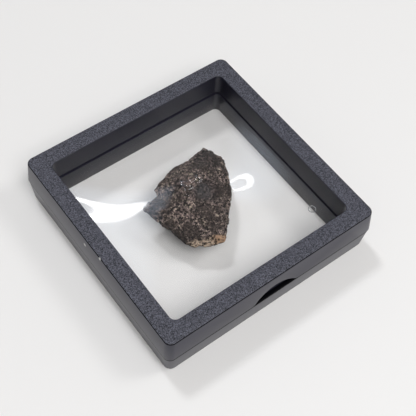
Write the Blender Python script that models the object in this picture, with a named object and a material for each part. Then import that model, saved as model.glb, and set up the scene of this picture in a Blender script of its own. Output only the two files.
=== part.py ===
"""A chondrite fragment held between two clear elastic films in a square hinged display frame.

The frame stands on its lower half, +Z is up, the thumb notch is on the -Y side and the hinge is
on the +Y side. Points are worked out in millimetres from the middle of the square's underside.
Each mesh is then put in metres, with the origin in the middle of the footprint, knuckles included.
"""
import math

import bmesh
import bpy
import numpy as np
from mathutils import Vector, noise
from mathutils.bvhtree import BVHTree

MM = 0.001

# Frame, two half shells that meet at mid height
SIDE = 90.0
HEIGHT = 20.0
SEAM_GAP = 0.3
CORNER_RADIUS = 2.7
TOP_INSET = 0.72
BASE_INSET = 0.95
LOWER_STEP = 0.23
WINDOW = 75.5
WINDOW_RADIUS = 2.3
WINDOW_DRAFT = 0.1
EDGE_ROUND = 0.5
RIM_CHAMFER = 0.25
LIP = 1.1
CORNER_STEPS = 5

# Films, one bonded into each half
FILM_THICKNESS = 0.2
FILM_SIDE = 82.4
FILM_PITCH = 2.6
FILM_FINE_CELLS = 7
TOUCH_GAP = 0.3
FILM_GAP = 0.5

# Thumb notch in the lid's front wall
NOTCH_WIDTH = 17.8
NOTCH_HEIGHT = 5.0
NOTCH_DEPTH = 3.4
SCOOP_WIDTH_LOW = 20.4
SCOOP_WIDTH_TOP = 15.6
SCOOP_DEPTH = 1.0
SCOOP_TOP = 18.8

# Hinge, two knuckle sets on the back wall
HINGE_OUT = 0.3
HINGE_PLACES = (-27.0, 27.0)
KNUCKLE_RADIUS = 2.1
KNUCKLE_SEGMENTS = 24
PIN_RADIUS = 0.85
BORE_RADIUS = 1.15
LID_KNUCKLE = 6.0
BASE_KNUCKLE = 3.2
LEAF_ROOT = 4.0
POCKET_DEPTH = 3.0
POCKET_CLEARANCE = 0.35

# Stone, the corners of its main block, of the lobe broken off along a ledge and of the far tip
STONE_VOXEL = 0.8
STONE_TRIANGLES = 3700
STONE_ROUNDING = 0.35
STONE_LUMPS = 0.35
STONE_PITS = 0.2
MAIN_BLOCK = (
    (17.2, 5.2, 13.2), (14.0, -0.9, 12.3), (10.3, -6.4, 11.4), (5.9, -11.1, 11.2), (1.5, -15.0, 10.3),
    (-1.6, -19.2, 9.7), (-6.0, -17.7, 9.0), (-12.1, -14.2, 8.6), (-13.1, -12.0, 8.5), (-13.3, -8.6, 8.6),
    (-14.1, -2.8, 10.0), (-15.6, -0.3, 11.3), (-17.3, 3.0, 12.5), (-19.8, 6.9, 13.8), (-18.9, 7.7, 13.6),
    (-13.9, 8.5, 13.4), (-8.6, 8.8, 11.7), (3.5, 2.5, 16.4), (9.5, -1.5, 15.0), (-1.0, -15.5, 12.5),
    (-7.5, -12.5, 13.0), (-12.7, -10.5, 11.0), (-11.0, 2.5, 14.4), (-15.0, 2.0, 13.2), (-10.0, -8.0, 5.8),
    (-3.0, -13.0, 6.2), (4.0, -5.0, 4.4), (9.0, 4.0, 3.8), (-8.0, 4.0, 4.6), (1.0, 7.5, 3.6), (-15.0, 5.2, 10.0),
)
LOBE = (
    (-12.0, 11.4, 13.2), (-11.8, 10.1, 13.4), (-10.8, 11.7, 12.7), (-8.9, 8.2, 13.1), (-5.0, 13.5, 14.0),
    (-1.8, 14.9, 14.0), (1.5, 14.7, 14.0), (5.4, 14.1, 14.0), (7.2, 15.0, 14.0), (9.0, 12.0, 15.8),
    (4.5, 3.5, 17.6), (2.0, 4.0, 17.6), (-4.0, 4.0, 17.2), (-8.5, 7.5, 15.0), (-2.5, 9.0, 16.6),
    (-6.0, 10.0, 9.0), (2.0, 12.0, 7.0), (9.0, 11.5, 7.0), (2.0, 4.0, 9.0),
)
FAR_TIP = (
    (14.8, 16.6, 14.0), (15.8, 13.2, 14.0), (18.0, 9.3, 13.4), (17.2, 5.2, 13.2), (7.2, 15.0, 14.0),
    (11.5, 9.5, 16.2), (4.5, 5.0, 17.0), (9.5, -1.5, 15.0), (10.5, 11.0, 6.4), (9.0, 4.0, 5.0),
    (13.5, 13.0, 8.8), (15.5, 8.0, 8.5), (13.5, 2.0, 9.5),
)

# Levels and outlines that follow from the sizes above
HALF = SIDE / 2
SEAM = HEIGHT / 2
LID_LOW = SEAM + SEAM_GAP / 2
BASE_TOP = SEAM - SEAM_GAP / 2
UPPER_FILM = SEAM + FILM_GAP / 2
LOWER_FILM = SEAM - FILM_GAP / 2
LID_SEAT = UPPER_FILM + FILM_THICKNESS + TOUCH_GAP
BASE_SEAT = LOWER_FILM - FILM_THICKNESS - TOUCH_GAP
WINDOW_HALF = WINDOW / 2
SEAT_HALF = HALF - LOWER_STEP - LIP
HINGE_Y = HALF + HINGE_OUT
SQUARE_CENTRE = Vector((0.0, -(HINGE_OUT + KNUCKLE_RADIUS) / 2, 0.0))


def clear_scene():
    """Remove whatever the file held before."""
    for old in list(bpy.data.objects):
        bpy.data.objects.remove(old, do_unlink=True)


def plain_material(name, color, roughness, metallic=0.0, transmission=0.0):
    """Make one plain Principled material."""
    material = bpy.data.materials.new(name)
    material.use_nodes = True
    shader = material.node_tree.nodes["Principled BSDF"]
    shader.inputs["Base Color"].default_value = (*color, 1.0)
    shader.inputs["Roughness"].default_value = roughness
    shader.inputs["Metallic"].default_value = metallic
    shader.inputs["Transmission Weight"].default_value = transmission
    return material


def add_object(name, mesh, material=None):
    """Put a mesh in the scene under its own name."""
    obj = bpy.data.objects.new(name, mesh)
    bpy.context.collection.objects.link(obj)
    if material is not None:
        mesh.materials.append(material)
    return obj


def to_scene(point):
    """Turn a point of the square, in millimetres, into the scene's metres."""
    return (Vector(point) + SQUARE_CENTRE) * MM


def to_square(place):
    """Turn a place in the scene back into millimetres from the square's middle."""
    return place / MM - SQUARE_CENTRE


def mesh_from(name, points, faces):
    """Make a mesh from points in millimetres, with its faces turned outwards."""
    bm = bmesh.new()
    verts = [bm.verts.new(to_scene(p)) for p in points]
    for face in faces:
        bm.faces.new([verts[i] for i in face])
    bmesh.ops.recalc_face_normals(bm, faces=bm.faces)
    mesh = bpy.data.meshes.new(name)
    bm.to_mesh(mesh)
    bm.free()
    return mesh


def rounded_square(half, radius, z):
    """Points around a square with rounded corners, seen from above, turning left."""
    points = []
    for quarter in range(4):
        start = quarter * math.pi / 2
        centre_x = (half - radius) * (1 if quarter in (0, 3) else -1)
        centre_y = (half - radius) * (1 if quarter in (0, 1) else -1)
        for step in range(CORNER_STEPS + 1):
            angle = start + step / CORNER_STEPS * math.pi / 2
            points.append((centre_x + radius * math.cos(angle), centre_y + radius * math.sin(angle), z))
    return points


def hull_mesh(name, corners):
    """Smallest convex block around a set of corners."""
    bm = bmesh.new()
    for corner in corners:
        bm.verts.new(to_scene(corner))
    bmesh.ops.convex_hull(bm, input=bm.verts)
    spare = [v for v in bm.verts if not v.link_faces]
    bmesh.ops.delete(bm, geom=spare, context="VERTS")
    bmesh.ops.recalc_face_normals(bm, faces=bm.faces)
    mesh = bpy.data.meshes.new(name)
    bm.to_mesh(mesh)
    bm.free()
    return mesh


def ring_mesh(name, section):
    """Sweep a closed section round the square: each row is half side, corner radius, height."""
    loops = [rounded_square(*row) for row in section]
    count = len(loops[0])
    points = [p for loop in loops for p in loop]
    faces = []
    for row in range(len(loops)):
        below = (row + 1) % len(loops)
        for i in range(count):
            j = (i + 1) % count
            faces.append((row * count + i, row * count + j, below * count + j, below * count + i))
    return mesh_from(name, points, faces)


def lid_section():
    """Section of the upper half, from its outer lower edge up, over and down the window."""
    top = HALF - TOP_INSET
    return [
        (HALF, CORNER_RADIUS, LID_LOW),
        (top, CORNER_RADIUS, HEIGHT - EDGE_ROUND),
        (top - 0.3 * EDGE_ROUND, CORNER_RADIUS, HEIGHT - 0.3 * EDGE_ROUND),
        (top - EDGE_ROUND, CORNER_RADIUS - 0.3, HEIGHT),
        (WINDOW_HALF + RIM_CHAMFER, WINDOW_RADIUS, HEIGHT),
        (WINDOW_HALF, WINDOW_RADIUS, HEIGHT - RIM_CHAMFER),
        (WINDOW_HALF - WINDOW_DRAFT, WINDOW_RADIUS, LID_SEAT),
        (SEAT_HALF, CORNER_RADIUS - 1.0, LID_SEAT),
        (SEAT_HALF, CORNER_RADIUS - 1.0, LID_LOW),
    ]


def base_section():
    """Section of the lower half, from its outer upper edge down, in and up the window."""
    top = HALF - LOWER_STEP
    foot = HALF - BASE_INSET
    return [
        (SEAT_HALF, CORNER_RADIUS - 1.0, BASE_TOP),
        (SEAT_HALF, CORNER_RADIUS - 1.0, BASE_SEAT),
        (WINDOW_HALF - WINDOW_DRAFT, WINDOW_RADIUS, BASE_SEAT),
        (WINDOW_HALF - WINDOW_DRAFT, WINDOW_RADIUS, RIM_CHAMFER),
        (WINDOW_HALF - WINDOW_DRAFT + RIM_CHAMFER, WINDOW_RADIUS, 0.0),
        (foot - EDGE_ROUND, CORNER_RADIUS - 0.2, 0.0),
        (foot, CORNER_RADIUS, EDGE_ROUND),
        (top, CORNER_RADIUS, BASE_TOP),
    ]


def box_mesh(name, low, high):
    """Make a plain box between two corners."""
    points = [(x, y, z) for x in (low[0], high[0]) for y in (low[1], high[1]) for z in (low[2], high[2])]
    faces = [(0, 1, 3, 2), (4, 6, 7, 5), (0, 4, 5, 1), (2, 3, 7, 6), (0, 2, 6, 4), (1, 5, 7, 3)]
    return mesh_from(name, points, faces)


def prism_mesh(name, outline, start, end):
    """Run an outline of (y, z) points along X from start to end."""
    count = len(outline)
    points = [(x, y, z) for x in (start, end) for y, z in outline]
    faces = [tuple(range(count)), tuple(range(2 * count - 1, count - 1, -1))]
    for i in range(count):
        j = (i + 1) % count
        faces.append((i, j, count + j, count + i))
    return mesh_from(name, points, faces)


def circle_outline(radius, segments=KNUCKLE_SEGMENTS):
    """Points of a circle round the hinge axis, as (y, z)."""
    angles = [2 * math.pi * i / segments for i in range(segments)]
    return [(HINGE_Y + radius * math.cos(a), SEAM + radius * math.sin(a)) for a in angles]


def leaf_outline(up):
    """Outline of one hinge leaf: the knuckle and the arm that runs into the wall."""
    arm = [(HALF - 2.0, SEAM), (HALF - 2.0, SEAM + up * LEAF_ROOT), (HALF + 0.2, SEAM + up * (POCKET_DEPTH - 0.1))]
    arm.append((HALF - 0.8, SEAM + up * LEAF_ROOT))
    bm = bmesh.new()
    for y, z in circle_outline(KNUCKLE_RADIUS) + arm:
        bm.verts.new((y, z, 0.0))
    hull = bmesh.ops.convex_hull(bm, input=bm.verts)
    used = [v for v in bm.verts if v.link_faces and v not in hull["geom_interior"]]
    centre = sum((v.co for v in used), Vector()) / len(used)
    used.sort(key=lambda v: math.atan2(v.co.y - centre.y, v.co.x - centre.x))
    outline = [(v.co.x, v.co.y) for v in used]
    bm.free()
    return outline


def cutter(mesh):
    """Turn a mesh into a hidden cutting tool."""
    tool = add_object(mesh.name, mesh)
    tool.hide_render = True
    tool.display_type = "WIRE"
    return tool


def combine(obj, mesh, operation):
    """Cut a shape from an object, or join it on."""
    tool = cutter(mesh)
    change = obj.modifiers.new(mesh.name, "BOOLEAN")
    change.operation = operation
    change.solver = "EXACT"
    change.object = tool


def notch_mesh():
    """Half an ellipse that lifts the lid's front edge for a thumb."""
    steps = 14
    half = NOTCH_WIDTH / 2
    outline = []
    for i in range(steps + 1):
        angle = math.pi * i / steps
        outline.append((half * math.cos(angle), LID_LOW + NOTCH_HEIGHT * math.sin(angle)))
    outline += [(-half, LID_LOW - 1.0), (half, LID_LOW - 1.0)]
    back = -HALF + NOTCH_DEPTH
    count = len(outline)
    points = [(x, y, z) for y in (-HALF - 1.0, back) for x, z in outline]
    faces = [tuple(range(count)), tuple(range(2 * count - 1, count - 1, -1))]
    for i in range(count):
        j = (i + 1) % count
        faces.append((i, j, count + j, count + i))
    return mesh_from("thumb_notch", points, faces)


def scoop_mesh():
    """Shallow sloping hollow around the notch, deepest at the seam and gone below the top edge."""
    low = SCOOP_WIDTH_LOW / 2
    high = SCOOP_WIDTH_TOP / 2
    bevel = 1.0
    face_low = -HALF
    face_high = -HALF + TOP_INSET * (SCOOP_TOP - LID_LOW) / (HEIGHT - LID_LOW)
    floor = face_low + SCOOP_DEPTH
    bottom = LID_LOW - 0.5
    points = [
        (-low, face_low, bottom), (low, face_low, bottom), (high, face_high, SCOOP_TOP), (-high, face_high, SCOOP_TOP),
        (-low + bevel, floor, bottom), (low - bevel, floor, bottom),
        (-low, face_low - 2.0, bottom), (low, face_low - 2.0, bottom),
        (high, face_high - 2.0, SCOOP_TOP), (-high, face_high - 2.0, SCOOP_TOP),
    ]
    return hull_mesh("thumb_scoop", points)


def cut_hinge(obj, upper):
    """Cut the hinge pockets in one half and join on its own leaves."""
    up = 1 if upper else -1
    reach = LID_KNUCKLE / 2 + TOUCH_GAP + BASE_KNUCKLE + TOUCH_GAP
    inner = HINGE_Y - KNUCKLE_RADIUS - POCKET_CLEARANCE
    for number, place in enumerate(HINGE_PLACES):
        levels = sorted((SEAM - up * 1.0, SEAM + up * POCKET_DEPTH))
        pocket = box_mesh(f"pocket_{up}_{number}", (place - reach, inner, levels[0]), (place + reach, HALF + 2.0, levels[1]))
        combine(obj, pocket, "DIFFERENCE")
        if upper:
            spans = [(place - LID_KNUCKLE / 2, place + LID_KNUCKLE / 2)]
        else:
            start = LID_KNUCKLE / 2 + TOUCH_GAP
            spans = [(place + start, place + start + BASE_KNUCKLE), (place - start - BASE_KNUCKLE, place - start)]
        for part, (low, high) in enumerate(spans):
            leaf = prism_mesh(f"leaf_{up}_{number}_{part}", leaf_outline(up), low, high)
            combine(obj, leaf, "UNION")
        pin_reach = reach - 2 * TOUCH_GAP
        if upper:
            pin = prism_mesh(f"pin_{number}", circle_outline(PIN_RADIUS), place - pin_reach, place + pin_reach)
            combine(obj, pin, "UNION")
        else:
            bore = prism_mesh(f"bore_{number}", circle_outline(BORE_RADIUS), place - reach + 0.1, place + reach - 0.1)
            combine(obj, bore, "DIFFERENCE")


def soften(obj, angle=30.0):
    """Shade smooth apart from the real edges."""
    obj.data.shade_smooth()
    obj.data.set_sharp_from_angle(angle=math.radians(angle))


def evaluated_copy(obj, name):
    """Return the object's mesh with its modifiers applied."""
    depsgraph = bpy.context.evaluated_depsgraph_get()
    depsgraph.update()
    mesh = bpy.data.meshes.new_from_object(obj.evaluated_get(depsgraph))
    mesh.name = name
    return mesh


def grown(corners):
    """Move corners out from the stone's middle by what the rounding takes off again."""
    middle = Vector((0.0, 0.0, SEAM))
    return [Vector(c) + (Vector(c) - middle).normalized() * STONE_ROUNDING for c in corners]


def build_stone(material):
    """Join the three blocks, round their edges off and rough the faces up."""
    raw = add_object("stone_blocks", hull_mesh("stone_main", grown(MAIN_BLOCK)))
    combine(raw, hull_mesh("stone_lobe", grown(LOBE)), "UNION")
    combine(raw, hull_mesh("stone_tip", grown(FAR_TIP)), "UNION")
    round_off = raw.modifiers.new("even_faces", "REMESH")
    round_off.mode = "VOXEL"
    round_off.voxel_size = STONE_VOXEL * MM
    mesh = evaluated_copy(raw, "even_stone")
    bpy.data.objects.remove(raw, do_unlink=True)
    mesh.update()
    normals = [v.normal.copy() for v in mesh.vertices]
    for vertex, normal in zip(mesh.vertices, normals):
        place = to_square(vertex.co)
        lump = noise.noise(place / 4.5) * STONE_LUMPS
        pit = min(0.0, noise.noise(place / 1.9 + Vector((7.0, 3.0, 1.0)))) * STONE_PITS
        vertex.co += normal * (lump + pit) * MM
    even = add_object("even_stone", mesh)
    fewer = even.modifiers.new("fewer_faces", "DECIMATE")
    fewer.ratio = STONE_TRIANGLES / (2 * len(mesh.polygons))
    stone = add_object("meteorite", evaluated_copy(even, "meteorite"))
    bpy.data.objects.remove(even, do_unlink=True)
    stone.data.materials.clear()
    stone.data.materials.append(material)
    soften(stone, 40.0)
    return stone


def grid_lines():
    """Positions of the film's grid lines, close together over the stone."""
    fine = [FILM_PITCH * i for i in range(FILM_FINE_CELLS + 1)]
    window = WINDOW_HALF - WINDOW_DRAFT
    wide = [fine[-1] + (window - fine[-1]) * share for share in (0.25, 0.58, 1.0)]
    right = fine + wide + [FILM_SIDE / 2]
    return np.array([-x for x in reversed(right[1:])] + right)


def stone_heights(stone, lines, side):
    """Highest stone surface beside each grid point, or lowest with side -1, in millimetres."""
    mesh = stone.data
    points = [to_square(v.co) for v in mesh.vertices]
    tree = BVHTree.FromPolygons(points, [tuple(p.vertices) for p in mesh.polygons])
    samples = 4
    count = len(lines)
    heights = np.full((count, count), -1e9)
    for i in range(count - 1):
        for j in range(count - 1):
            best = -1e9
            for a in range(samples + 1):
                for b in range(samples + 1):
                    x = lines[i] + (lines[i + 1] - lines[i]) * a / samples
                    y = lines[j] + (lines[j + 1] - lines[j]) * b / samples
                    hit = tree.ray_cast(Vector((x, y, side * 100.0)), Vector((0, 0, -side)))[0]
                    if hit is not None:
                        best = max(best, side * hit.z)
            for corner in ((i, j), (i + 1, j), (i, j + 1), (i + 1, j + 1)):
                heights[corner] = max(heights[corner], best)
    return heights


def relax_film(lines, obstacle, rest):
    """Let a stretched film settle over the stone: flat at the window's edge, free elsewhere."""
    count = len(lines)
    film = np.maximum(np.full((count, count), rest), obstacle)
    before = np.diff(lines)[:-1]
    after = np.diff(lines)[1:]
    low = 1 / (before * (before + after))
    high = 1 / (after * (before + after))
    window = WINDOW_HALF - WINDOW_DRAFT - 0.001
    edge = np.abs(lines) > window
    fixed = edge[:, None] | edge[None, :]
    for _ in range(900):
        across = low[:, None] * film[:-2, 1:-1] + high[:, None] * film[2:, 1:-1]
        along = low[None, :] * film[1:-1, :-2] + high[None, :] * film[1:-1, 2:]
        total = (low + high)[:, None] + (low + high)[None, :]
        film[1:-1, 1:-1] = (across + along) / total
        film = np.maximum(film, obstacle)
        film[fixed] = rest
    return film


def build_film(name, stone, side, rest, material):
    """Make one film: a thin closed sheet that tents over the stone from its own side."""
    lines = grid_lines()
    obstacle = stone_heights(stone, lines, side) + TOUCH_GAP
    near = relax_film(lines, obstacle, side * rest)
    slope_x, slope_y = np.gradient(near, lines, lines)
    far = near + FILM_THICKNESS * np.sqrt(1 + slope_x ** 2 + slope_y ** 2)
    count = len(lines)
    points = [(lines[i], lines[j], side * sheet[i, j]) for sheet in (near, far) for i in range(count) for j in range(count)]

    def at(sheet, i, j):
        return sheet * count * count + i * count + j

    faces = []
    for i in range(count - 1):
        for j in range(count - 1):
            faces.append((at(0, i, j), at(0, i, j + 1), at(0, i + 1, j + 1), at(0, i + 1, j)))
            faces.append((at(1, i, j), at(1, i + 1, j), at(1, i + 1, j + 1), at(1, i, j + 1)))
    last = count - 1
    for k in range(last):
        for a, b in (((k, 0), (k + 1, 0)), ((last, k), (last, k + 1)), ((k + 1, last), (k, last)), ((0, k + 1), (0, k))):
            faces.append((at(0, *a), at(0, *b), at(1, *b), at(1, *a)))
    film = add_object(name, mesh_from(name, points, faces), material)
    film.data.shade_smooth()
    film.data.set_sharp_from_angle(angle=math.radians(50))
    return film


def main():
    clear_scene()
    shell = plain_material("black_plastic", (0.035, 0.036, 0.042), 0.5)
    crust = plain_material("chondrite", (0.075, 0.06, 0.05), 0.75)
    clear = plain_material("clear_film", (0.95, 0.97, 1.0), 0.05, transmission=1.0)

    lower_frame = add_object("lower_frame", ring_mesh("lower_frame", base_section()), shell)
    cut_hinge(lower_frame, upper=False)
    soften(lower_frame)

    upper_frame = add_object("upper_frame", ring_mesh("upper_frame", lid_section()), shell)
    combine(upper_frame, scoop_mesh(), "DIFFERENCE")
    combine(upper_frame, notch_mesh(), "DIFFERENCE")
    cut_hinge(upper_frame, upper=True)
    soften(upper_frame)

    stone = build_stone(crust)
    build_film("lower_membrane", stone, -1, LOWER_FILM, clear)
    upper_membrane = build_film("upper_membrane", stone, 1, UPPER_FILM, clear)

    hinge = bpy.data.objects.new("lid_hinge", None)
    bpy.context.collection.objects.link(hinge)
    hinge.location = to_scene((0.0, HINGE_Y, SEAM))
    for piece in (upper_frame, upper_membrane):
        piece.parent = hinge
        piece.location = -hinge.location


main()
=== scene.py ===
# %% [markdown]
# # A chondrite held between two clear films
# The object is a fragment of a stony meteorite in a square black plastic frame. The frame is two
# half shells that close like a book. Each half holds a clear elastic film, and the two films grip
# the stone at mid height, so that it seems to float.
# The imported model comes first, because every piece below sits where that model says.

# %% Load the fixed frame
import math

import bmesh
import bpy
import numpy as np
from mathutils import Matrix, Vector
from mathutils.bvhtree import BVHTree


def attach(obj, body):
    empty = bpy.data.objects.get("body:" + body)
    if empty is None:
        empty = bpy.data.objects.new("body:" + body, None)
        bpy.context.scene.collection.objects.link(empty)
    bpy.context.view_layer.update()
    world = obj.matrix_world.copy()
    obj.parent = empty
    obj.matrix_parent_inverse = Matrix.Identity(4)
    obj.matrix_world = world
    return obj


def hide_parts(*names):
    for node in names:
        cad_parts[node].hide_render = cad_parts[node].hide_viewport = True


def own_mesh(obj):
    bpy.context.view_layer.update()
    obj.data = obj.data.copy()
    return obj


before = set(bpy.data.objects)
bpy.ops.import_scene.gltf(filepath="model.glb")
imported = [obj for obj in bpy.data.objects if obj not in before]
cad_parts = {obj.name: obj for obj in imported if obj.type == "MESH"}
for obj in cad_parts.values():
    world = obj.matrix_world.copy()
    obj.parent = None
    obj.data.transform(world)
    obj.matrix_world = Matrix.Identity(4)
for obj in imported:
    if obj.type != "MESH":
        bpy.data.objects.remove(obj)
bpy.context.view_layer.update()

# %% [markdown]
# Sizes are easiest to read in millimetres from the middle of the square. The model's own origin is
# in the middle of the whole footprint, and the hinge knuckles push that a little towards the back,
# so one small function turns the one into the other.

# %% Sizes of the frame
MM = 0.001
HALF_SIDE = 45.0
HEIGHT = 20.0
SEAM = HEIGHT / 2
SEAM_GAP = 0.3
WINDOW_HALF = 37.75
HINGE_OUT = 0.3
HINGE_Y = HALF_SIDE + HINGE_OUT
KNUCKLE_RADIUS = 2.1
SQUARE_Y = -(HINGE_OUT + KNUCKLE_RADIUS) / 2


def place(x, y, z):
    """Millimetres from the square's middle, as a point in the scene."""
    return Vector((x, y + SQUARE_Y, z)) * MM


print("the hinge line is at", [round(v, 5) for v in place(0, HINGE_Y, SEAM)])

# %% [markdown]
# A few short helpers save many lines later. An operator works on whatever is selected, so a clean
# selection comes before each one. A finished piece also keeps its object at the origin, unturned
# and unscaled, with its place in its mesh: then a pattern that reads Object coordinates stays put.


# %% Helpers for selecting and finishing
def pick(*pieces):
    """Select only these pieces and make the last one active."""
    if bpy.context.object is not None and bpy.context.object.mode != "OBJECT":
        bpy.ops.object.mode_set(mode="OBJECT")
    bpy.ops.object.select_all(action="DESELECT")
    for piece in pieces:
        piece.select_set(True)
    bpy.context.view_layer.objects.active = pieces[-1]


def settle_place(piece):
    """Put a piece's place, turn and size into its mesh."""
    pick(piece)
    bpy.ops.object.transform_apply(location=True, rotation=True, scale=True)


def apply_all(piece):
    """Apply a piece's modifiers, from the top of the list down."""
    pick(piece)
    for name in [m.name for m in piece.modifiers]:
        bpy.ops.object.modifier_apply(modifier=name)


def report(piece):
    """Print what a piece is made of."""
    lo = [min(v.co[i] for v in piece.data.vertices) * 1000 for i in range(3)]
    hi = [max(v.co[i] for v in piece.data.vertices) * 1000 for i in range(3)]
    size = [round(b - a, 1) for a, b in zip(lo, hi)]
    print(piece.name, "has", len(piece.data.polygons), "faces and measures", size, "mm")


print("helpers ready, with", len(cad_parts), "nodes to stand in for")

# %% [markdown]
# The camera looks down on one corner, as in the photograph. Its place, lens and turn come from
# fitting a pinhole camera to the frame's corners, so that the render and the photograph line up.

# %% Camera
CAMERA_PLACE = (-111.54, -135.53, 274.51)
CAMERA_RIGHT = Vector((0.8005, -0.5975, 0.0458))
CAMERA_UP = Vector((0.4807, 0.6860, 0.5462))
CAMERA_BACK = Vector((-0.3578, -0.4152, 0.8364))
SENSOR_WIDTH = 36.0
LENS = 75.738

camera_data = bpy.data.cameras.new("studio_camera")
camera_data.sensor_width = SENSOR_WIDTH
camera_data.lens = LENS
camera_data.clip_start = 0.01
camera = bpy.data.objects.new("studio_camera", camera_data)
bpy.context.collection.objects.link(camera)
turn = Matrix((CAMERA_RIGHT, CAMERA_UP, CAMERA_BACK)).transposed().to_4x4()
camera.matrix_world = Matrix.Translation(place(*CAMERA_PLACE)) @ turn
bpy.context.scene.camera = camera
print("camera is", round(camera.location.length * 1000), "mm from the origin")

# %% [markdown]
# The table is a plain pale sheet. It only has to take the shadows, so it is a large flat plane with
# a very slight unevenness in its tone.

# %% Table
TABLE_SIZE = 3.0
TABLE_TONES = ((0.822, 0.808, 0.796, 1), (0.852, 0.840, 0.828, 1))

bpy.ops.mesh.primitive_plane_add(size=TABLE_SIZE, location=(0, 0, 0))
table = bpy.context.object
table.name = "table"

table_finish = bpy.data.materials.new("pale_table")
table_finish.use_nodes = True
nodes, links = table_finish.node_tree.nodes, table_finish.node_tree.links
shader = nodes["Principled BSDF"]
shader.inputs["Roughness"].default_value = 0.6
shader.inputs["Specular IOR Level"].default_value = 0.2
coords = nodes.new("ShaderNodeTexCoord")
cloud = nodes.new("ShaderNodeTexNoise")
cloud.inputs["Scale"].default_value = 5.0
tone = nodes.new("ShaderNodeValToRGB")
for stop, color in zip(tone.color_ramp.elements, TABLE_TONES):
    stop.color = color
links.new(coords.outputs["Object"], cloud.inputs["Vector"])
links.new(cloud.outputs["Fac"], tone.inputs["Fac"])
links.new(tone.outputs["Color"], shader.inputs["Base Color"])
table.data.materials.append(table_finish)
print("table is", table.dimensions.x, "m wide")

# %% [markdown]
# The room is dimmer overhead than at the horizon, and a bluish glow lies round the direction of the
# main lamp. The films mirror that glow, so the bright streak and ring in them get a soft halo.

# %% Room glow
RING_DIRECTION = (0.03, 0.57, 1.0)
GLOW_OUTER_ANGLE = 11.5
GLOW_INNER_ANGLE = 3
GLOW_FALL = 1.4
GLOW_COLOR = (5.6, 6.6, 8.0)
ROOM_STRENGTH = 0.34

world = bpy.data.worlds.new("room")
bpy.context.scene.world = world
bpy.context.scene.view_settings.view_transform = "Standard"
world.use_nodes = True
sky = world.node_tree
backdrop = sky.nodes["Background"]
look = sky.nodes.new("ShaderNodeTexCoord")
split = sky.nodes.new("ShaderNodeSeparateXYZ")
overhead = sky.nodes.new("ShaderNodeMapRange")
overhead.inputs["From Min"].default_value = 0.2
overhead.inputs["From Max"].default_value = 0.9
overhead.inputs["To Min"].default_value = 1.0
overhead.inputs["To Max"].default_value = 0.55
sky.links.new(look.outputs["Generated"], split.inputs["Vector"])
sky.links.new(split.outputs["Z"], overhead.inputs["Value"])
near_lamp = sky.nodes.new("ShaderNodeVectorMath")
near_lamp.operation = "DOT_PRODUCT"
near_lamp.inputs[1].default_value = Vector(RING_DIRECTION).normalized()
sky.links.new(look.outputs["Generated"], near_lamp.inputs[0])
halo = sky.nodes.new("ShaderNodeMapRange")
halo.inputs["From Min"].default_value = math.cos(math.radians(GLOW_OUTER_ANGLE))
halo.inputs["From Max"].default_value = math.cos(math.radians(GLOW_INNER_ANGLE))
sky.links.new(near_lamp.outputs["Value"], halo.inputs["Value"])
steep = sky.nodes.new("ShaderNodeMath")
steep.operation = "POWER"
steep.inputs[1].default_value = GLOW_FALL
sky.links.new(halo.outputs["Result"], steep.inputs[0])
bluish = sky.nodes.new("ShaderNodeVectorMath")
bluish.operation = "MULTIPLY_ADD"
bluish.inputs[1].default_value = GLOW_COLOR
sky.links.new(steep.outputs["Value"], bluish.inputs[0])
sky.links.new(overhead.outputs["Result"], bluish.inputs[2])
sky.links.new(bluish.outputs["Vector"], backdrop.inputs["Color"])
backdrop.inputs["Strength"].default_value = ROOM_STRENGTH
print("the glow fades out", GLOW_OUTER_ANGLE, "degrees from the lamp")

# %% [markdown]
# Four lamps light the frame. The ring lamp hangs behind it and above: the films bend its reflection
# into the bright ring and the streak. It hangs far away, so that it lies in nearly the same
# direction from every part of the film. A second lamp in the same place adds light but is kept out
# of reflections, so that the ring can have soft edges while the table stays bright. The side lamp
# throws a shadow to the left, and the broad window light fills in from the front.

# %% Lamps
RING_DISTANCE = 5.0
RING_SIZE = 0.74


def lamp(name, toward, distance, size, power, shape="DISK"):
    """Hang an area lamp in a direction from the frame and aim it at the frame."""
    data = bpy.data.lights.new(name, "AREA")
    data.shape = shape
    data.size = size
    data.energy = power
    obj = bpy.data.objects.new(name, data)
    bpy.context.collection.objects.link(obj)
    direction = Vector(toward).normalized()
    obj.location = direction * distance
    obj.rotation_euler = direction.to_track_quat("Z", "Y").to_euler()
    return obj


ring_lamp = lamp("ring_lamp", RING_DIRECTION, RING_DISTANCE, RING_SIZE, 46.0)
unseen_lamp = lamp("unseen_lamp", RING_DIRECTION, RING_DISTANCE, RING_SIZE, 38.0)
unseen_lamp.visible_glossy = False
lamp("side_lamp", (0.72, -0.38, 1.0), 1.5, 0.42, 3.8)
lamp("window_light", (-0.12, -0.50, 0.9), 1.6, 0.9, 15.0, "SQUARE")

# %% [markdown]
# A lamp's shader can shape its light. Here the distance from the disk's middle goes through one
# smooth step that rises from the hole to the crest and one that falls from the crest to the rim,
# and their product, squared, is a ring with soft edges.

# %% Ring shape of the back lamp
RING_HOLE = 0.25
RING_CREST = 0.36
RING_RIM = 0.50

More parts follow.
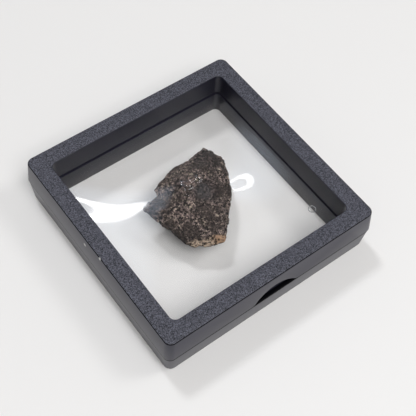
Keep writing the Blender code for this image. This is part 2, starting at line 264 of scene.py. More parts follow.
ring_lamp.data.use_nodes = True
shade = ring_lamp.data.node_tree
glow = shade.nodes["Emission"]
where = shade.nodes.new("ShaderNodeNewGeometry")
centre = shade.nodes.new("ShaderNodeVectorMath")
centre.operation = "DISTANCE"
centre.inputs[1].default_value = (0.5, 0.5, 0.0)
shade.links.new(where.outputs["Parametric"], centre.inputs[0])
soft_ring = shade.nodes.new("ShaderNodeMath")
soft_ring.operation = "MULTIPLY"
for slot, dark in zip(soft_ring.inputs, (RING_HOLE, RING_RIM)):
    side = shade.nodes.new("ShaderNodeMapRange")
    side.interpolation_type = "SMOOTHSTEP"
    side.inputs["From Min"].default_value = dark
    side.inputs["From Max"].default_value = RING_CREST
    shade.links.new(centre.outputs["Value"], side.inputs["Value"])
    shade.links.new(side.outputs["Result"], slot)
squared = shade.nodes.new("ShaderNodeMath")
squared.operation = "POWER"
squared.inputs[1].default_value = 2.0
shade.links.new(soft_ring.outputs["Value"], squared.inputs[0])
shade.links.new(squared.outputs["Value"], glow.inputs["Strength"])
print("the ring lamp shines from", RING_HOLE, "to", RING_RIM, "of its width")

# %% [markdown]
# ## The half shells
# Each half shell is an injection moulding: a square ring whose walls draw in a little so that it
# leaves its mould. It could be a box with a hole cut in it, but then the inner and outer corners
# couldn't have their own radii. So a loop of points is laid out as a square with rounded corners
# and extruded row by row along the shell's section, and the last row is bridged to the first.

# %% Square with rounded corners
CORNER_STEPS = 10
OUTER_CORNER = 2.7
LOOP_POINTS = 4 * (CORNER_STEPS + 1)


def rounded_square(half, radius):
    """Points round a square with rounded corners, in millimetres, in order of their angle."""
    points = []
    for quarter in range(4):
        cx = (half - radius) * (1 if quarter in (0, 3) else -1)
        cy = (half - radius) * (1 if quarter in (0, 1) else -1)
        for step in range(CORNER_STEPS + 1):
            angle = (quarter + step / CORNER_STEPS) * math.pi / 2
            points.append((cx + radius * math.cos(angle), cy + radius * math.sin(angle)))
    return sorted(points, key=lambda p: math.atan2(p[1], p[0]))


print("one loop has", len(rounded_square(HALF_SIDE, OUTER_CORNER)), "points")


# %% Extrude a ring row by row
def lay_row(mesh, row):
    """Move the selected loop onto one row of the section."""
    half, radius, z = row
    bm = bmesh.from_edit_mesh(mesh)
    loop = [v for v in bm.verts if v.select]
    loop.sort(key=lambda v: math.atan2(v.co.y - SQUARE_Y * MM, v.co.x))
    for vertex, (x, y) in zip(loop, rounded_square(half, radius)):
        vertex.co = place(x, y, z)
    bmesh.update_edit_mesh(mesh)


def ring(name, rows):
    """A closed ring with the given section; each row is half side, corner radius and height."""
    bpy.ops.mesh.primitive_circle_add(
        vertices=LOOP_POINTS, radius=HALF_SIDE * MM, fill_type="NOTHING", location=place(0, 0, 0)
    )
    shell = bpy.context.object
    shell.name = name
    settle_place(shell)
    bpy.ops.object.mode_set(mode="EDIT")
    bpy.ops.mesh.select_all(action="SELECT")
    lay_row(shell.data, rows[0])
    for row in rows[1:]:
        bpy.ops.mesh.extrude_region_move()
        lay_row(shell.data, row)
    bpy.ops.mesh.select_mode(type="EDGE")
    bpy.ops.mesh.select_all(action="DESELECT")
    bpy.ops.mesh.select_non_manifold()
    bpy.ops.mesh.bridge_edge_loops()
    bpy.ops.mesh.select_all(action="SELECT")
    bpy.ops.mesh.normals_make_consistent(inside=False)
    bpy.ops.object.mode_set(mode="OBJECT")
    return shell


print("every row of a ring has", LOOP_POINTS, "points")

# %% [markdown]
# A moulded edge is never sharp. A quarter circle of a few rows rounds the outer top edge, and a
# tiny slope along the window's rim catches the lamp. At the seam both halves draw in and a gap
# stays between them; the fine dark line that runs round the frame there is widened by painted
# shadow in the shells' material.

# %% Upper shell, plain ring
EDGE_ROUND = 0.38
TOP_HALF = 44.28
INNER_HALF = 37.65
INNER_CORNER = 2.3
STEP_HALF = 43.67
STEP_CORNER = 1.7
LID_LOW = SEAM + SEAM_GAP / 2
LID_SEAT = 10.75


def quarter_round(half, radius, z, size, down, steps=4):
    """Rows that turn an outer edge through a quarter circle, from the wall to the flat face."""
    rows = []
    for i in range(steps + 1):
        angle = i / steps * math.pi / 2
        inward = size * (1 - math.cos(angle))
        along = size * math.sin(angle)
        level = z + (size - along) if down else z - (size - along)
        rows.append((half - inward, radius - 0.4 * inward, level))
    return rows


lid_rows = [(44.99, OUTER_CORNER, LID_LOW), (HALF_SIDE, OUTER_CORNER, LID_LOW + 0.12)]
lid_rows += quarter_round(TOP_HALF, OUTER_CORNER, HEIGHT, EDGE_ROUND, down=False)
lid_rows += [(38.06, 2.5, HEIGHT), (37.90, 2.42, HEIGHT - 0.05), (37.78, 2.34, HEIGHT - 0.16)]
lid_rows += [(WINDOW_HALF, INNER_CORNER, HEIGHT - 0.32), (INNER_HALF, INNER_CORNER, LID_SEAT)]
lid_rows += [(STEP_HALF, STEP_CORNER, LID_SEAT), (STEP_HALF, STEP_CORNER, LID_LOW)]
upper_shell = ring("upper_shell", lid_rows)
report(upper_shell)

# %% Lower shell, plain ring
FOOT_HALF = 44.05
FOOT_ROUND = 0.5
BASE_TOP = SEAM - SEAM_GAP / 2
BASE_SEAT = 9.25

base_rows = [(STEP_HALF, STEP_CORNER, BASE_TOP), (STEP_HALF, STEP_CORNER, BASE_SEAT)]
base_rows += [(INNER_HALF, INNER_CORNER, BASE_SEAT), (INNER_HALF, INNER_CORNER, 0.3)]
base_rows += [(37.72, 2.34, 0.12), (37.90, 2.4, 0.0)]
base_rows += list(reversed(quarter_round(FOOT_HALF, OUTER_CORNER, 0.0, FOOT_ROUND, down=True)))
base_rows += [(44.80, OUTER_CORNER, BASE_TOP - 0.5), (44.45, 2.6, BASE_TOP)]
lower_shell = ring("lower_shell", base_rows)
report(lower_shell)

# %% [markdown]
# A finger opens the frame at a notch in the middle of the lid's front wall, and the wall is faintly
# hollowed round it. Both could be modelled into the rings, but the rows would no longer be plain
# loops, so they are cut afterwards with the Boolean modifier, and the cutting tools are removed.


# %% Cutting and joining
def combine(piece, tool, operation):
    """Cut a tool from a piece, or join it on, and remove the tool."""
    pick(piece)
    change = piece.modifiers.new("combine", "BOOLEAN")
    change.operation = operation
    change.solver = "EXACT"
    change.object = tool
    bpy.ops.object.modifier_apply(modifier=change.name)
    bpy.data.objects.remove(tool, do_unlink=True)


def block(lo, hi):
    """A box between two corners, in millimetres."""
    middle = place(*[(a + b) / 2 for a, b in zip(lo, hi)])
    bpy.ops.mesh.primitive_cube_add(size=1.0, location=middle)
    box = bpy.context.object
    box.scale = [(b - a) * MM for a, b in zip(lo, hi)]
    settle_place(box)
    return box


def bar(x0, x1, y, radius, sides=48):
    """A round bar along X at the height of the seam, in millimetres."""
    bpy.ops.mesh.primitive_cylinder_add(
        vertices=sides,
        radius=radius * MM,
        depth=(x1 - x0) * MM,
        location=place((x0 + x1) / 2, y, SEAM),
        rotation=(0, math.pi / 2, 0),
    )
    rod = bpy.context.object
    settle_place(rod)
    return rod


print("cutting tools ready")

# %% [markdown]
# The hollow is the side of a cone so wide that it only grazes the wall, and the notch is the top of
# a cylinder whose radius gives the arch its half width and height.

# %% Hollow and notch in the lid's front wall
FRONT_Y = -44.1
HOLLOW_RADIUS = 56.0
HOLLOW_TOP_RADIUS = 55.74
HOLLOW_DEPTH = 9.0
HOLLOW_MIDDLE = 4.4
NOTCH_HALF = 9.0
NOTCH_HEIGHT = 3.9
NOTCH_DEPTH = 5.0

bpy.ops.mesh.primitive_cone_add(
    vertices=720,
    radius1=HOLLOW_RADIUS * MM,
    radius2=HOLLOW_TOP_RADIUS * MM,
    depth=HOLLOW_DEPTH * MM,
    location=place(0, FRONT_Y - HOLLOW_RADIUS, LID_LOW + HOLLOW_MIDDLE),
)
hollow = bpy.context.object
settle_place(hollow)
combine(upper_shell, hollow, "DIFFERENCE")

notch_radius = (NOTCH_HALF**2 + NOTCH_HEIGHT**2) / (2 * NOTCH_HEIGHT)
bpy.ops.mesh.primitive_cylinder_add(
    vertices=192,
    radius=notch_radius * MM,
    depth=NOTCH_DEPTH * MM,
    location=place(0, FRONT_Y, LID_LOW + NOTCH_HEIGHT - notch_radius),
    rotation=(math.pi / 2, 0, 0),
)
thumb = bpy.context.object
settle_place(thumb)
combine(upper_shell, thumb, "DIFFERENCE")
report(upper_shell)

# %% [markdown]
# The hinge is two short sets of knuckles on the back wall, opposite the thumb notch. On each set
# the lid has the middle knuckle with a pin moulded through it, and the base has the two outer ones.
# A knuckle is a round bar with an arm that runs back into its own wall; wrapping both in a convex
# hull gives the smooth tear-drop that a mould makes.

# %% Hinge knuckles
HINGE_PLACES = (-27.0, 27.0)
LID_KNUCKLE = 6.0
BASE_KNUCKLE = 3.2
KNUCKLE_GAP = 0.3
ARM_BACK = 43.2
ARM_FRONT = 44.2
ARM_LEVELS = (0.1, 4.0)


def knuckle(x0, x1, up):
    """One knuckle with its arm, for the lid with up 1 or for the base with up -1."""
    rod = bar(x0, x1, HINGE_Y, KNUCKLE_RADIUS)
    low, high = sorted(SEAM + up * level for level in ARM_LEVELS)
    arm = block((x0, ARM_BACK, low), (x1, ARM_FRONT, high))
    pick(arm, rod)
    bpy.ops.object.join()
    bpy.ops.object.mode_set(mode="EDIT")
    bpy.ops.mesh.select_all(action="SELECT")
    bpy.ops.mesh.convex_hull()
    bpy.ops.object.mode_set(mode="OBJECT")
    return bpy.context.object


print("a set of knuckles is", LID_KNUCKLE + 2 * (KNUCKLE_GAP + BASE_KNUCKLE), "mm wide")

# %% Fit the hinge to both shells
POCKET_ROOM = 0.3
POCKET_WALL_ROOM = 0.35
POCKET_END = 47.0
PIN_RADIUS = 0.85
BORE_RADIUS = 1.15
BORE_EXTRA = 0.2
SMOOTH_BELOW = 32


def fit_hinge(shell, up):
    """Cut the pockets for the other half's knuckles and join on this half's own."""
    inner = LID_KNUCKLE / 2 + KNUCKLE_GAP
    reach = LID_KNUCKLE / 2 + KNUCKLE_GAP + BASE_KNUCKLE
    wall = HINGE_Y - KNUCKLE_RADIUS - POCKET_WALL_ROOM
    low, high = sorted((SEAM - up * 1.0, SEAM + up * 3.0))
    for middle in HINGE_PLACES:
        left, right = middle - reach, middle + reach
        pocket = block((left - POCKET_ROOM, wall, low), (right + POCKET_ROOM, POCKET_END, high))
        combine(shell, pocket, "DIFFERENCE")
        if up > 0:
            spans = [(-LID_KNUCKLE / 2, LID_KNUCKLE / 2)]
        else:
            spans = [(-reach, -inner), (inner, reach)]
        for x0, x1 in spans:
            combine(shell, knuckle(middle + x0, middle + x1, up), "UNION")
        if up > 0:
            combine(shell, bar(left, right, HINGE_Y, PIN_RADIUS), "UNION")
        else:
            bore = bar(left - BORE_EXTRA, right + BORE_EXTRA, HINGE_Y, BORE_RADIUS)
            combine(shell, bore, "DIFFERENCE")


fit_hinge(upper_shell, 1)
fit_hinge(lower_shell, -1)
for shell in (upper_shell, lower_shell):
    pick(shell)
    bpy.ops.object.shade_smooth_by_angle(angle=math.radians(SMOOTH_BELOW))
    report(shell)

# %% [markdown]
# ## Black plastic
# The mould's top face was spark eroded, so it has a fine leathery grain that scatters light, while
# the walls are satin. One node group makes the grain, with a height for the bump and a mask of
# lighter specks, and the shells' material mixes it in on the top face alone.

# %% Grain as a node group
SPECK_RANGE = (0.38, 0.66)

grain = bpy.data.node_groups.new("mould_grain", "ShaderNodeTree")
for name, way in (("Grain Size", "INPUT"), ("Height", "OUTPUT"), ("Specks", "OUTPUT")):
    grain.interface.new_socket(name, in_out=way, socket_type="NodeSocketFloat")
way_in = grain.nodes.new("NodeGroupInput")
way_out = grain.nodes.new("NodeGroupOutput")
here = grain.nodes.new("ShaderNodeTexCoord")
per_metre = grain.nodes.new("ShaderNodeMath")
per_metre.operation = "DIVIDE"
per_metre.inputs[0].default_value = 1000.0
bumps = grain.nodes.new("ShaderNodeTexNoise")
bumps.inputs["Detail"].default_value = 3.0
bumps.inputs["Roughness"].default_value = 0.65
specks = grain.nodes.new("ShaderNodeMapRange")
specks.inputs["From Min"].default_value = SPECK_RANGE[0]
specks.inputs["From Max"].default_value = SPECK_RANGE[1]
grain.links.new(way_in.outputs["Grain Size"], per_metre.inputs[1])
grain.links.new(per_metre.outputs["Value"], bumps.inputs["Scale"])
grain.links.new(here.outputs["Object"], bumps.inputs["Vector"])
grain.links.new(bumps.outputs["Fac"], way_out.inputs["Height"])
grain.links.new(bumps.outputs["Fac"], specks.inputs["Value"])
grain.links.new(specks.outputs["Result"], way_out.inputs["Specks"])
print("grain group sockets:", [s.name for s in grain.interface.items_tree])

# %% [markdown]
# Most of what follows is arithmetic on masks, so a few helpers add one node each and wire it up.
# A socket or a plain number can go in, and a socket comes out.


# %% Node helpers for numbers
def math_node(tree, operation, first, second=0.0):
    """A Math node on two inputs, each a socket or a number."""
    node = tree.nodes.new("ShaderNodeMath")
    node.operation = operation
    for slot, value in zip(node.inputs, (first, second)):
        if isinstance(value, (int, float)):
            slot.default_value = value
        else:
            tree.links.new(value, slot)
    return node.outputs["Value"]


def times(tree, first, second):
    """The product of two inputs."""
    return math_node(tree, "MULTIPLY", first, second)


def plus(tree, first, second):
    """The sum of two inputs."""
    return math_node(tree, "ADD", first, second)


def largest(tree, values):
    """The largest of several inputs."""
    most = values[0]
    for value in values[1:]:
        most = math_node(tree, "MAXIMUM", most, value)
    return most


def ramp(tree, value, low, high):
    """A smooth step from 0 at low to 1 at high."""
    node = tree.nodes.new("ShaderNodeMapRange")
    node.interpolation_type = "SMOOTHSTEP"
    node.inputs["From Min"].default_value = low
    node.inputs["From Max"].default_value = high
    tree.links.new(value, node.inputs["Value"])
    return node.outputs["Result"]


print("helpers for numbers ready")

# %% Node helpers for patterns and colours
CORE_SHARE = 0.35


def noise(tree, coords, **values):
    """A Noise texture on some coordinates, with its named inputs set."""
    node = tree.nodes.new("ShaderNodeTexNoise")
    for key, value in values.items():
        node.inputs[key].default_value = value
    tree.links.new(coords, node.inputs["Vector"])
    return node


def near_point(tree, coords, point, radius):
    """A mask that is 1 at a point, given in millimetres, and 0 past a radius."""
    gap = tree.nodes.new("ShaderNodeVectorMath")
    gap.operation = "DISTANCE"
    gap.inputs[1].default_value = place(*point)
    tree.links.new(coords, gap.inputs[0])
    return ramp(tree, gap.outputs["Value"], radius * MM, radius * CORE_SHARE * MM)


def near_points(tree, coords, spots):
    """A mask round several spots, each a point and a radius."""
    return largest(tree, [near_point(tree, coords, point, radius) for point, radius in spots])


def mix_color(tree, share, first, second):
    """Mix two colours, each a socket or three numbers, by a share from 0 to 1."""
    node = tree.nodes.new("ShaderNodeMix")
    node.data_type = "RGBA"
    sockets = [s for s in node.inputs if s.enabled]
    for slot, value in zip(sockets, (share, first, second)):
        if isinstance(value, tuple):
            slot.default_value = (*value, 1.0)
        elif isinstance(value, float):
            slot.default_value = value
        else:
            tree.links.new(value, slot)
    return [s for s in node.outputs if s.enabled][0]


print("helpers for patterns and colours ready")

# %% [markdown]
# One material serves both shells, so masks tell their faces apart by tilt and place: the level top,
# the walls inside the window, which get painted shade, and the outer edges and the seam, which get
# thin painted dark lines.
# Each range below runs from where a mask is 0 to where it is 1; those on places are in metres.

# %% Where each finish lies on a shell
TOP_HEIGHT = (0.0185, 0.0195)
OUTER_WALL = (0.0427, 0.0433)
WINDOW_WALL = (0.0384, 0.0380)
SEAM_BELOW = (0.0087, 0.0089)
SEAM_ABOVE = (0.0104, 0.0101)
LEVEL_TILT = (0.85, 0.97)
EDGE_TILT = (0.15, 0.35)
UPRIGHT_TILT = (0.5, 0.3)

plastic = bpy.data.materials.new("black_plastic")
plastic.use_nodes = True
tree = plastic.node_tree
coords = tree.nodes.new("ShaderNodeTexCoord")
at = coords.outputs["Object"]
facing = tree.nodes.new("ShaderNodeSeparateXYZ")
tree.links.new(coords.outputs["Normal"], facing.inputs["Vector"])
tilt = math_node(tree, "ABSOLUTE", facing.outputs["Z"])
spot = tree.nodes.new("ShaderNodeSeparateXYZ")
tree.links.new(at, spot.inputs["Vector"])
level = spot.outputs["Z"]
across = math_node(tree, "ABSOLUTE", spot.outputs["X"])
along = math_node(tree, "SUBTRACT", spot.outputs["Y"], SQUARE_Y * MM)
outwards = largest(tree, [across, math_node(tree, "ABSOLUTE", along)])

flat = times(tree, ramp(tree, tilt, *LEVEL_TILT), ramp(tree, level, *TOP_HEIGHT))
outer = ramp(tree, outwards, *OUTER_WALL)
inner = times(tree, ramp(tree, outwards, *WINDOW_WALL), ramp(tree, tilt, *UPRIGHT_TILT))
# The rounded outer edges get a painted dark reflection and the band at the seam a painted shadow,
# both in one near-black colour with less shine.
edge = times(tree, ramp(tree, tilt, *EDGE_TILT), outer)
edge = times(tree, edge, math_node(tree, "SUBTRACT", 1.0, flat))
seam = times(tree, ramp(tree, level, *SEAM_BELOW), ramp(tree, level, *SEAM_ABOVE))
edge = largest(tree, [edge, times(tree, seam, outer)])
print("masks of the shells use", len(tree.nodes), "nodes")

# %% Shell colours
GRAIN_SIZE = 0.38
WALL_COLORS = ((0.018, 0.0175, 0.031), (0.029, 0.028, 0.047))
TOP_COLORS = ((0.007, 0.007, 0.011), (0.135, 0.137, 0.172))
PAINTED_WINDOW_SHADE = (0.006, 0.006, 0.010)
PAINTED_DARK_LINE_COLOR = (0.002, 0.002, 0.003)
PALE_SPOT_COLOR = (0.55, 0.54, 0.52)
PALE_SPOTS = (((-44.9, 4.7, 16.5), 1.0), ((-44.4, -4.5, 19.6), 0.8))

mould = tree.nodes.new("ShaderNodeGroup")
mould.node_tree = grain
mould.inputs["Grain Size"].default_value = GRAIN_SIZE
wide = noise(tree, at, Scale=45.0, Detail=2.0)
wall_color = mix_color(tree, wide.outputs["Fac"], *WALL_COLORS)
top_color = mix_color(tree, mould.outputs["Specks"], *TOP_COLORS)
color = mix_color(tree, flat, wall_color, top_color)
# Painted shade: the walls inside the window are darkened towards near black.
color = mix_color(tree, times(tree, inner, 0.6), color, PAINTED_WINDOW_SHADE)
color = mix_color(tree, edge, color, PAINTED_DARK_LINE_COLOR)
# Two small pale spots are coloured onto the left outer wall, one at its top edge.
color = mix_color(tree, near_points(tree, at, PALE_SPOTS), color, PALE_SPOT_COLOR)
shader = tree.nodes["Principled BSDF"]
tree.links.new(color, shader.inputs["Base Color"])
print("the shells have", len(PALE_SPOTS), "white nicks")

# %% Shell gloss and grain
WALL_ROUGHNESS = 0.30
TOP_ROUGHNESS = 0.52
SHINE = 0.41
GRAIN_DEPTH = 0.00008

shader.inputs["IOR"].default_value = 1.5
rough = tree.nodes.new("ShaderNodeMapRange")
rough.inputs["To Min"].default_value = WALL_ROUGHNESS
rough.inputs["To Max"].default_value = TOP_ROUGHNESS
tree.links.new(flat, rough.inputs["Value"])
tree.links.new(rough.outputs["Result"], shader.inputs["Roughness"])
shine = math_node(tree, "SUBTRACT", SHINE, times(tree, edge, 0.35))
shine = math_node(tree, "SUBTRACT", shine, times(tree, inner, 0.12))
tree.links.new(shine, shader.inputs["Specular IOR Level"])
bump = tree.nodes.new("ShaderNodeBump")
bump.inputs["Distance"].default_value = GRAIN_DEPTH
tree.links.new(mould.outputs["Height"], bump.inputs["Height"])
tree.links.new(plus(tree, times(tree, flat, 0.75), 0.08), bump.inputs["Strength"])
tree.links.new(bump.outputs["Normal"], shader.inputs["Normal"])
for shell in (upper_shell, lower_shell):
    shell.data.materials.clear()
    shell.data.materials.append(plastic)
print("plastic has", len(tree.nodes), "nodes")

# %% [markdown]
# ## The stone
# A chondrite is a mass of small grains pressed together, and this one is mostly covered by a dark
# crust. The model's faceted stone has the right outline, so a copy of it is the start: its loose
# triangles are merged, and it is remeshed into small even faces, ready to be pushed about.

# %% Stone, an even copy of the model's
MERGE_BELOW = 0.00001
VOXEL_SIZE = 0.00027

stone_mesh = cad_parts["meteorite"].data.copy()
stone = bpy.data.objects.new("stone", stone_mesh)
bpy.context.collection.objects.link(stone)
pick(stone)
bpy.ops.object.mode_set(mode="EDIT")
bpy.ops.mesh.select_all(action="SELECT")
bpy.ops.mesh.remove_doubles(threshold=MERGE_BELOW)
bpy.ops.object.mode_set(mode="OBJECT")
ease = stone.modifiers.new("ease", "SMOOTH")
ease.factor = 0.5
ease.iterations = 1
even = stone.modifiers.new("even", "REMESH")
even.mode = "VOXEL"
even.voxel_size = VOXEL_SIZE
settle = stone.modifiers.new("settle", "SMOOTH")
settle.factor = 0.5
settle.iterations = 4
apply_all(stone)
report(stone)

# %% [markdown]
# The films drape over the stone, and where they tilt decides where they mirror the lamp. So the
# stone's tip and one low place of its underside are pulled a little, with a soft falloff as by
# hand, until the streak and the ring lie where the photograph has them.

# %% Pull two spots of the stone a little
PULL_RADIUS = 9.0
PULLS = (
    ((-19.4, 6.4, 13.4), (0.48, 0.75, -1.4)),
    ((9.5, 7.0, 5.5), (0.0, 0.0, -1.25)),
)


def pull_spot(piece, spot, radius, move):
    """Move the vertex nearest to a spot, and its surroundings with it, all in millimetres."""
    pick(piece)
    bpy.ops.object.mode_set(mode="EDIT")
    bpy.ops.mesh.select_all(action="DESELECT")
    bpy.ops.object.mode_set(mode="OBJECT")
    nearest = min(piece.data.vertices, key=lambda v: (v.co - place(*spot)).length)
    nearest.select = True
    bpy.ops.object.mode_set(mode="EDIT")
    bpy.ops.mesh.select_mode(type="VERT")
    bpy.ops.transform.translate(
        value=Vector(move) * MM,
        use_proportional_edit=True,
        proportional_edit_falloff="SMOOTH",
        proportional_size=radius * MM,
    )
    bpy.ops.object.mode_set(mode="OBJECT")
    print("pulled", [round(v * 1000, 1) for v in nearest.co])


for spot_of_stone, move in PULLS:
    pull_spot(stone, spot_of_stone, PULL_RADIUS, move)

# %% [markdown]
# Four layers of Displace then roughen the surface, from broad lumps and chips down to single grains
# and grit. Sculpting could do it too, but a pattern gives the same stone at every run.


# %% Lumps and grains
def push(piece, name, kind, size, strength, middle=0.5, detail=2):
    """Displace a piece along its normals by a cloud or cell pattern, with sizes in millimetres."""
    texture = bpy.data.textures.new(name, kind)
    texture.noise_scale = size * MM
    if kind == "CLOUDS":
        texture.noise_depth = detail
    change = piece.modifiers.new(name, "DISPLACE")
    change.texture = texture
    change.texture_coords = "LOCAL"
    change.strength = strength * MM
    change.mid_level = middle


push(stone, "broad_lumps", "CLOUDS", 4.2, 0.9)
push(stone, "chips", "VORONOI", 2.4, 0.55, middle=0.45)
push(stone, "grains", "VORONOI", 1.05, 0.42, middle=0.45)
push(stone, "grit", "CLOUDS", 0.6, 0.3, detail=3)
apply_all(stone)
pick(stone)
bpy.ops.object.shade_smooth()
report(stone)

# %% [markdown]
# Its colour comes in layers as well: a dark matrix with brown patches, then tan chondrules and bits
# of metal as flecks of several sizes. They show on faces that look up, in clumps, and hardly at all
# in a few calm dark areas of the crust.

# %% Matrix and patches of the stone
MATRIX_COLORS = ((0.004, 0.0032, 0.0034), (0.190, 0.143, 0.134))
PATCH_COLOR = (0.034, 0.025, 0.023)
CALM_SPOTS = (
    ((12.0, 11.5, 15.0), 8.5),
    ((3.5, -1.0, 16.5), 7.0),
    ((-17.5, 5.5, 13.5), 6.0),
    ((-3.0, 6.0, 17.0), 3.5),
)

rock = bpy.data.materials.new("chondrite")
rock.use_nodes = True
tree = rock.node_tree
coords = tree.nodes.new("ShaderNodeTexCoord")
at = coords.outputs["Object"]
patches = noise(tree, at, Scale=190.0, Detail=4.0, Roughness=0.6).outputs["Fac"]
coarse = noise(tree, at, Scale=820.0, Detail=4.0, Roughness=0.68, Distortion=0.4).outputs["Fac"]
fine = noise(tree, at, Scale=2300.0, Detail=2.0, Roughness=0.6, Distortion=0.6).outputs["Fac"]
facing = tree.nodes.new("ShaderNodeSeparateXYZ")
tree.links.new(coords.outputs["Normal"], facing.inputs["Vector"])
matrix = mix_color(tree, ramp(tree, coarse, 0.44, 0.58), *MATRIX_COLORS)
matrix = mix_color(tree, ramp(tree, patches, 0.58, 0.36), matrix, PATCH_COLOR)

# Flecks fade on faces that don't look up, so the sides stay dark: partly the crust, partly painted
# shade.
upward = ramp(tree, facing.outputs["Z"], 0.05, 0.55)
calm = near_points(tree, at, CALM_SPOTS)
clumps = plus(tree, times(tree, ramp(tree, patches, 0.40, 0.54), 0.70), 0.30)
busy = times(tree, times(tree, math_node(tree, "SUBTRACT", 1.0, calm), upward), clumps)
print("the crust has", len(CALM_SPOTS), "calm areas")

# %% Flecks of the stone
CRUMB_COLOR = (0.60, 0.46, 0.38)
MIDDLING_COLOR = (0.74, 0.61, 0.48)
LARGE_COLOR = (0.80, 0.68, 0.52)
WARP = 0.9


def flecks(tree, coords, size, share):
    """A mask of scattered cells: size in millimetres, and the share of the cells that show."""
    warp = noise(tree, coords, Scale=1.6 / (size * MM), Detail=2.0)
    bend = tree.nodes.new("ShaderNodeVectorMath")
    bend.operation = "MULTIPLY_ADD"
    tree.links.new(warp.outputs["Color"], bend.inputs[0])
    bend.inputs[1].default_value = [WARP * size * MM] * 3
    tree.links.new(coords, bend.inputs[2])
    cells = tree.nodes.new("ShaderNodeTexVoronoi")
    cells.inputs["Scale"].default_value = 1.0 / (size * MM)
    tree.links.new(bend.outputs["Vector"], cells.inputs["Vector"])
    lot = tree.nodes.new("ShaderNodeSeparateColor")
    tree.links.new(cells.outputs["Color"], lot.inputs["Color"])
    chosen = ramp(tree, lot.outputs["Red"], 1.0 - share, 1.0 - share + 0.02)
    return times(tree, chosen, ramp(tree, cells.outputs["Distance"], 0.52, 0.20))


crumbs = ramp(tree, plus(tree, fine, times(tree, coarse, 0.5)), 0.81, 0.89)
color = matrix
for mask, strength, tint in (
    (crumbs, 0.9, CRUMB_COLOR),
    (flecks(tree, at, 0.8, 0.12), 0.8, MIDDLING_COLOR),
    (flecks(tree, at, 1.5, 0.06), 0.7, LARGE_COLOR),
):
    color = mix_color(tree, times(tree, mask, times(tree, busy, strength)), color, tint)
print("flecks done, with", len(tree.nodes), "nodes so far")

# %% [markdown]
# At the near end a piece broke off, and the inside shows tan with a rusty corner. A slanting line
# with a ragged edge parts it from the crust: the mask adds a share of each coordinate and a noise.

# %% Broken face of the stone
BROKEN_EDGE = (-0.0128, -0.0142)
RUST_EDGE = (-0.0065, -0.0035)
TAN_COLORS = ((0.026, 0.017, 0.013), (0.64, 0.48, 0.36))
TAN_CRUMB = (0.74, 0.62, 0.48)
RUST_COLORS = ((0.050, 0.024, 0.014), (0.56, 0.35, 0.22))
RUST_CRUMB = (0.55, 0.42, 0.29)

spot = tree.nodes.new("ShaderNodeSeparateXYZ")
tree.links.new(at, spot.inputs["Vector"])
ragged = times(tree, math_node(tree, "SUBTRACT", patches, 0.5), 0.006)
slant = plus(tree, spot.outputs["Y"], times(tree, spot.outputs["X"], 0.34))
slant = plus(tree, slant, plus(tree, ragged, times(tree, spot.outputs["Z"], 0.45)))
cracks = ramp(tree, coarse, 0.42, 0.54)
tan = mix_color(tree, crumbs, mix_color(tree, cracks, *TAN_COLORS), TAN_CRUMB)
rusty = mix_color(tree, cracks, *RUST_COLORS)
rusty = mix_color(tree, times(tree, crumbs, 0.7), rusty, RUST_CRUMB)
inside = mix_color(tree, ramp(tree, spot.outputs["X"], *RUST_EDGE), tan, rusty)
color = mix_color(tree, ramp(tree, slant, *BROKEN_EDGE), color, inside)
print("broken face done, with", len(tree.nodes), "nodes so far")

# %% [markdown]
# Last come a painted pale reflection of the film on the top of the stone, and painted shade in the
# pits and on the steep sides. Pointiness tells a pit from a bump, since it reads how sharply the
# mesh bends.

# %% Painted reflection, painted shade and finish of the stone
PAINTED_REFLECTION_SPOT = ((2.0, -0.7, 17.0), 5.0)
PAINTED_REFLECTION_COLOR = (0.125, 0.125, 0.13)
PAINTED_SHADE_COLOR = (0.003, 0.0027, 0.0027)
RELIEF_DEPTH = 0.0011

# Painted reflection: a pale grey spot on the top of the stone stands for the film's reflection
# there.
painted_reflection = near_point(tree, at, *PAINTED_REFLECTION_SPOT)
color = mix_color(tree, times(tree, painted_reflection, 0.35), color, PAINTED_REFLECTION_COLOR)
form = tree.nodes.new("ShaderNodeNewGeometry")
# Painted shade: pits, and faces that are steep or turn down, are darkened towards near black.
raised = ramp(tree, form.outputs["Pointiness"], 0.455, 0.525)
level_face = ramp(tree, facing.outputs["Z"], -0.05, 0.5)
color = mix_color(tree, raised, mix_color(tree, 0.72, color, PAINTED_SHADE_COLOR), color)
color = mix_color(tree, level_face, mix_color(tree, 0.75, color, PAINTED_SHADE_COLOR), color)
shader = tree.nodes["Principled BSDF"]
tree.links.new(color, shader.inputs["Base Color"])
shader.inputs["Roughness"].default_value = 0.55
shader.inputs["Specular IOR Level"].default_value = 0.2
bump = tree.nodes.new("ShaderNodeBump")
bump.inputs["Distance"].default_value = RELIEF_DEPTH
bump.inputs["Strength"].default_value = 1.0
tree.links.new(plus(tree, coarse, times(tree, fine, 0.45)), bump.inputs["Height"])
tree.links.new(bump.outputs["Normal"], shader.inputs["Normal"])
stone.data.materials.clear()
stone.data.materials.append(rock)
print("stone material has", len(tree.nodes), "nodes")

# %% [markdown]
# ## The films
# A stretched film takes the shape with the least area, so away from the stone each point sits at
# the mean of its neighbours, and over the stone it can't go below the surface. It bridges small
# pits, so that surface is widened by a cell and smoothed first, and the film stays just clear.

# %% Floor that the stone gives a film
CLEARANCE = 0.14
MARGIN = 0.05
NOWHERE = -1e3
STONE_X = 22
STONE_Y = 23


def stone_reach(lines, side):
    """The stone's highest point under each grid point, or its lowest with side -1."""
    corners = [v.co for v in stone.data.vertices]
    tree_of_faces = BVHTree.FromPolygons(corners, [tuple(p.vertices) for p in stone.data.polygons])
    reach = np.full((len(lines), len(lines)), NOWHERE)
    for i, x in enumerate(lines):
        for j, y in enumerate(lines):
            if abs(x) < STONE_X and abs(y) < STONE_Y:
                start = place(x, y, side * 100.0)
                hit = tree_of_faces.ray_cast(start, Vector((0, 0, -side)))[0]
                if hit is not None:
                    reach[i, j] = side * hit.z / MM
    return reach


